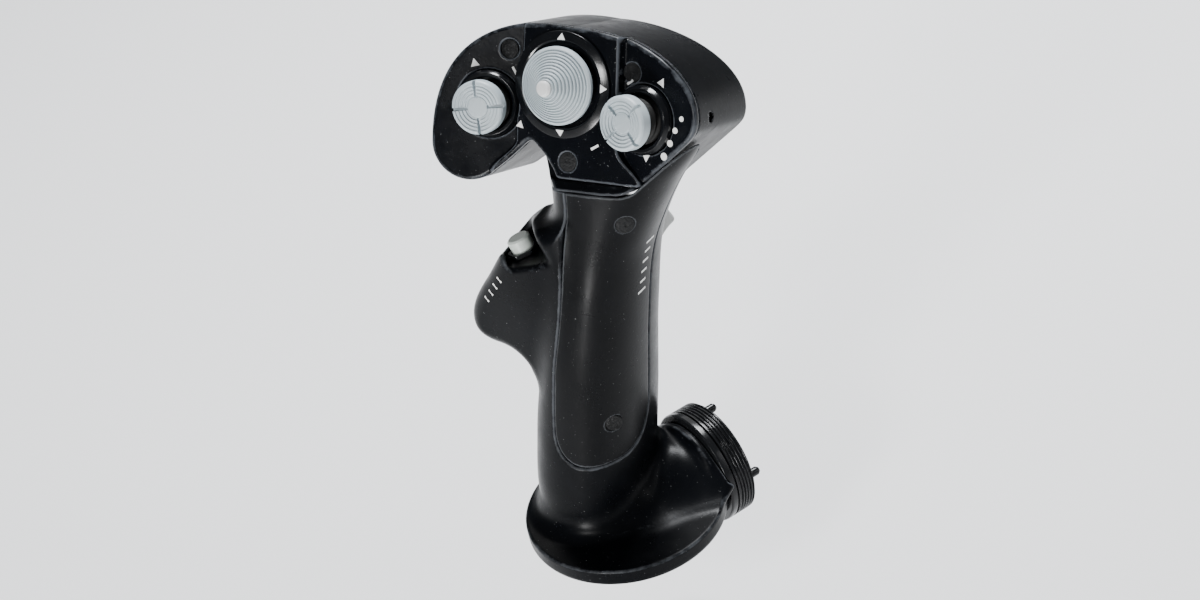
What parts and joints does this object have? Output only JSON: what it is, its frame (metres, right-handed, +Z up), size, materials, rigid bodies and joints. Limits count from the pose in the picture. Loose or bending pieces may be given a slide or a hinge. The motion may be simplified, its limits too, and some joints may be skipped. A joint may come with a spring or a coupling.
{
  "type": "flight joystick grip",
  "caption": "Curved aircraft-style control grip with thumb hats on a concave head, a trigger, a thumb release button, a round hand rest and a threaded mounting collar.",
  "frame": {"origin": "centre of the mounting collar's end face, where the grip meets the stick", "axes": "+Z up, square to the hand rest disc; +X to the pilot's right, along the line of the hats; -Y towards the pilot"},
  "size_m": [0.0964, 0.0908, 0.2057],
  "materials": {
    "casing": "gloss black",
    "gloss_trim": "gloss black",
    "boot_rubber": "matt black",
    "hat_plastic": "satin light grey",
    "tip_plastic": "satin pale grey",
    "trigger_plastic": "satin grey",
    "button_plastic": "pale grey-green",
    "collar_metal": "black anodised",
    "steel": "bright",
    "brass": "plain",
    "potting": "dull black",
    "insert": "dark green",
    "wire": "dark grey sleeve"
  },
  "bodies": {
    "casing": {"grip_body": "casing", "palm_cover": "casing", "head_housing": "casing", "head_faceplate": "casing", "trim_boss_ring": "gloss_trim", "left_hat_bezel": "gloss_trim", "right_hat_bezel": "gloss_trim", "left_hat_switch": "gloss_trim", "right_hat_switch": "gloss_trim", "trim_hat_switch": "gloss_trim", "release_button_nut": "gloss_trim", "collar_seal": "boot_rubber", "harness_tie": "boot_rubber", "trigger_microswitch": "boot_rubber", "release_button_switch": "boot_rubber", "mount_collar": "collar_metal", "index_pin_1": "collar_metal", "index_pin_2": "collar_metal", "index_pin_3": "collar_metal", "index_pin_4": "collar_metal", "trigger_pin": "steel", "microswitch_bracket": "steel", "face_screw_1": "steel", "face_screw_2": "steel", "face_screw_3": "steel", "palm_screw_1": "steel", "palm_screw_2": "steel", "head_set_screw": "steel", "connector_retaining_ring": "steel", "trigger_spring": "steel", "release_button_spring": "steel", "face_screw_potting_1": "potting", "face_screw_potting_2": "potting", "face_screw_potting_3": "potting", "palm_screw_potting_1": "potting", "palm_screw_potting_2": "potting", "connector_insert": "insert", "wiring_harness": "wire"},
    "left_hat_ring": {"left_hat_gimbal": "brass"},
    "left_hat": {"left_hat_knob": "hat_plastic", "left_hat_shaft": "steel", "left_hat_boot": "boot_rubber"},
    "right_hat_ring": {"right_hat_gimbal": "brass"},
    "right_hat": {"right_hat_knob": "hat_plastic", "right_hat_shaft": "steel", "right_hat_boot": "boot_rubber"},
    "trim_hat_ring": {"trim_hat_gimbal": "brass"},
    "trim_hat": {"trim_hat_cone": "hat_plastic", "trim_hat_tip": "tip_plastic", "trim_hat_shaft": "steel", "trim_hat_boot": "boot_rubber"},
    "trigger": {"trigger_lever": "trigger_plastic"},
    "switch_plunger": {"trigger_plunger": "brass"},
    "release_button": {"release_button_cap": "button_plastic", "release_button_plunger": "steel"}
  },
  "joints": [
    {"name": "left_hat_fore_aft", "type": "hinge", "parent": "casing", "child": "left_hat_ring", "pos_m": [-0.04692, -0.01963, 0.15718], "axis": [0.9816, 0.174, -0.0782], "range_deg": [-8, 8], "stiffness_Nm_per_rad": 0.4},
    {"name": "left_hat_side", "type": "hinge", "parent": "left_hat_ring", "child": "left_hat", "pos_m": [-0.04692, -0.01963, 0.15718], "axis": [0, 0.4099, 0.9121], "range_deg": [-8, 8], "stiffness_Nm_per_rad": 0.4},
    {"name": "right_hat_fore_aft", "type": "hinge", "parent": "casing", "child": "right_hat_ring", "pos_m": [0.01158, -0.01976, 0.1569], "axis": [0.9816, -0.174, 0.0782], "range_deg": [-8, 8], "stiffness_Nm_per_rad": 0.4},
    {"name": "right_hat_side", "type": "hinge", "parent": "right_hat_ring", "child": "right_hat", "pos_m": [0.01158, -0.01976, 0.1569], "axis": [0, 0.4099, 0.9121], "range_deg": [-8, 8], "stiffness_Nm_per_rad": 0.4},
    {"name": "trim_hat_fore_aft", "type": "hinge", "parent": "casing", "child": "trim_hat_ring", "pos_m": [-0.01807, -0.01698, 0.1653], "axis": [1, 0, 0], "range_deg": [-5, 5], "stiffness_Nm_per_rad": 0.4},
    {"name": "trim_hat_side", "type": "hinge", "parent": "trim_hat_ring", "child": "trim_hat", "pos_m": [-0.01807, -0.01698, 0.1653], "axis": [0, 0.4099, 0.9121], "range_deg": [-5, 5], "stiffness_Nm_per_rad": 0.4},
    {"name": "trigger_pull", "type": "hinge", "parent": "casing", "child": "trigger", "pos_m": [-0.0133, -0.0061, 0.1118], "axis": [-1, 0, 0], "range_deg": [0, 11], "stiffness_Nm_per_rad": 0.6, "springref_deg": -8.59, "deforming": ["trigger_spring"]},
    {"name": "plunger_travel", "type": "slide", "parent": "casing", "child": "switch_plunger", "axis": [0, -1, 0], "range_m": [0, 0.00308]},
    {"name": "release_button_press", "type": "slide", "parent": "casing", "child": "release_button", "axis": [0.309, 0, -0.9511], "range_m": [0, 0.0015], "stiffness_N_per_m": 600, "springref_m": -0.0008, "deforming": ["release_button_spring"]}
  ],
  "couplings": [
    {"joint": "plunger_travel", "follows": "trigger_pull", "m_per_rad": 0.016}
  ]
}
